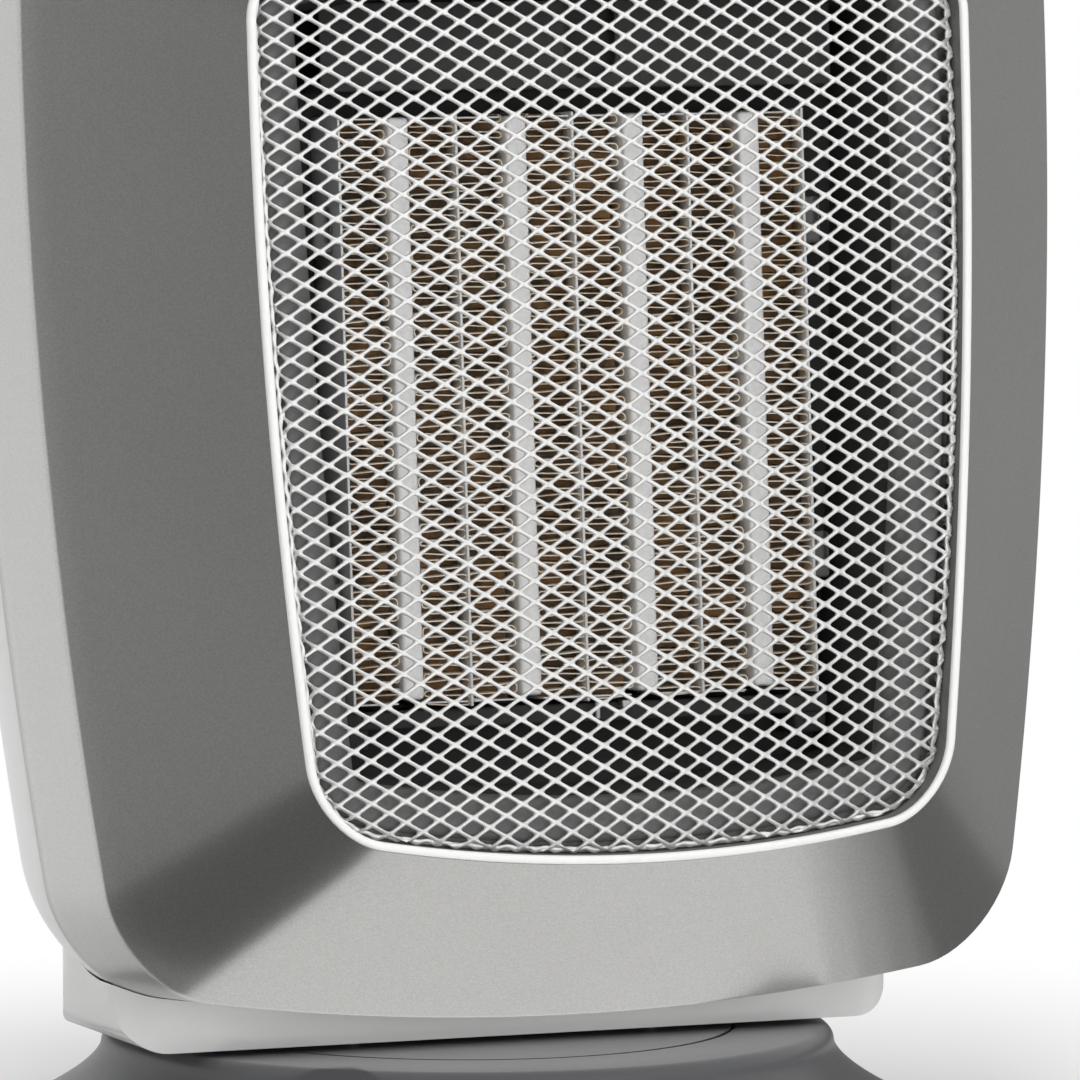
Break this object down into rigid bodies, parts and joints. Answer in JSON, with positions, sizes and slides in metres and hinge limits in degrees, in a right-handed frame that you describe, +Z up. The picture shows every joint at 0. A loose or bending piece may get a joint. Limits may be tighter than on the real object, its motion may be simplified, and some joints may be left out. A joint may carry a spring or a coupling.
{
  "type": "ceramic space heater",
  "caption": "Leaning ceramic fan heater with a framed expanded-mesh front, corrugated heating core, domed back and round oscillating base.",
  "frame": {"origin": "centre of the footprint, on the floor, on the turning axis of the base", "axes": "+Z up, the air outlet faces -Y, +X is to the right of someone facing the outlet"},
  "size_m": [0.2246, 0.188, 0.2869],
  "materials": {
    "silver_paint": "satin silver-grey metallic paint on moulded plastic",
    "white_gloss": "semi-gloss white moulding",
    "white_satin": "satin white moulding",
    "mesh_steel": "bright plated expanded sheet",
    "charcoal_plastic": "matt black-grey heat-resistant plastic",
    "duct_grey": "satin grey heat-resistant plastic",
    "tube_aluminium": "extruded satin",
    "fin_aluminium": "thin bright strip, slightly heat-tinted",
    "plate_steel": "rolled sheet",
    "terminal_brass": "stamped tab",
    "control_metal": "pressed can",
    "ceramic_body": "cream insulating body",
    "lamination_steel": "stacked laminations",
    "copper_winding": "enamelled copper wire under tape",
    "bronze_bush": "sintered bronze",
    "plated_steel": "zinc plated",
    "filter_foam": "open-cell foam",
    "nylon_natural": "natural nylon",
    "phenolic_brown": "brown phenolic moulding",
    "lamp_glass": "small neon lamp",
    "lens_red": "translucent red lens",
    "base_grey": "satin dark grey moulding",
    "weight_iron": "painted casting",
    "foot_rubber": "soft moulded",
    "grommet_plastic": "flexible strain relief",
    "plunger_red": "satin red moulding"
  },
  "bodies": {
    "base": {"base_shell": "base_grey", "base_plate": "plated_steel", "base_weight": "weight_iron", "ring_gear": "nylon_natural", "glide_washer": "nylon_natural", "rubber_feet": "foot_rubber", "base_screws": "plated_steel", "cord_grommet": "grommet_plastic", "tip_switch": "charcoal_plastic", "retaining_ring": "plated_steel"},
    "head": {"bezel": "silver_paint", "trim_ring": "white_gloss", "grille_mesh": "mesh_steel", "mesh_retainer": "charcoal_plastic", "heater_frame": "duct_grey", "ptc_tubes": "tube_aluminium", "fin_stacks": "fin_aluminium", "core_plates": "plate_steel", "core_end_caps": "charcoal_plastic", "core_terminals": "terminal_brass", "thermal_cutout": "control_metal", "thermal_fuse": "ceramic_body", "fan_shroud": "charcoal_plastic", "motor_stator": "lamination_steel", "motor_coil": "copper_winding", "front_bracket": "plate_steel", "rear_bracket": "plate_steel", "motor_bushes": "bronze_bush", "motor_screws": "plated_steel", "rear_housing": "white_gloss", "intake_grille": "white_satin", "dust_filter": "filter_foam", "handle_cup": "white_gloss", "housing_screws": "plated_steel", "neck": "white_gloss", "turntable": "base_grey", "turntable_screws": "plated_steel", "swing_motor": "control_metal", "terminal_block": "ceramic_body", "control_panel": "charcoal_plastic", "selector_switch": "ceramic_body", "thermostat": "phenolic_brown", "swing_switch": "charcoal_plastic", "power_lamp": "lamp_glass", "lamp_lens": "lens_red"},
    "fan": {"fan_impeller": "charcoal_plastic", "motor_rotor": "lamination_steel", "motor_shaft": "plated_steel"},
    "drive_pinion": {"drive_pinion": "nylon_natural"},
    "selector_knob": {"selector_knob": "white_satin"},
    "thermostat_knob": {"thermostat_knob": "white_satin"},
    "swing_button": {"swing_button": "white_satin"},
    "tip_plunger": {"tip_plunger": "plunger_red"}
  },
  "joints": [
    {"name": "oscillation", "type": "hinge", "parent": "base", "child": "head", "pos_m": [0, 0, 0], "axis": [0, 0, 1], "range_deg": [-35, 35]},
    {"name": "pinion_spin", "type": "hinge", "parent": "head", "child": "drive_pinion", "pos_m": [0.04375, 0, 0], "axis": [0, 0, 1], "range_deg": [-141, 141]},
    {"name": "fan_spin", "type": "hinge", "parent": "head", "child": "fan", "pos_m": [0, 0.00949, 0.15214], "axis": [0, 0.9972, -0.075], "continuous": true},
    {"name": "selector_turn", "type": "hinge", "parent": "head", "child": "selector_knob", "pos_m": [-0.034, 0.01538, 0.27054], "axis": [0, 0.075, 0.9972], "range_deg": [0, 270]},
    {"name": "thermostat_turn", "type": "hinge", "parent": "head", "child": "thermostat_knob", "pos_m": [0.034, 0.01538, 0.27054], "axis": [0, 0.075, 0.9972], "range_deg": [-270, 0]},
    {"name": "swing_button_press", "type": "slide", "parent": "head", "child": "swing_button", "axis": [0, -0.075, -0.9972], "range_m": [0, 0.0025], "stiffness_N_per_m": 300},
    {"name": "tip_plunger_slide", "type": "slide", "parent": "base", "child": "tip_plunger", "axis": [0, 0, -1], "range_m": [0, 0.004], "stiffness_N_per_m": 200, "springref_m": 0.004}
  ],
  "couplings": [
    {"joint": "pinion_spin", "follows": "oscillation", "ratio": 4}
  ]
}
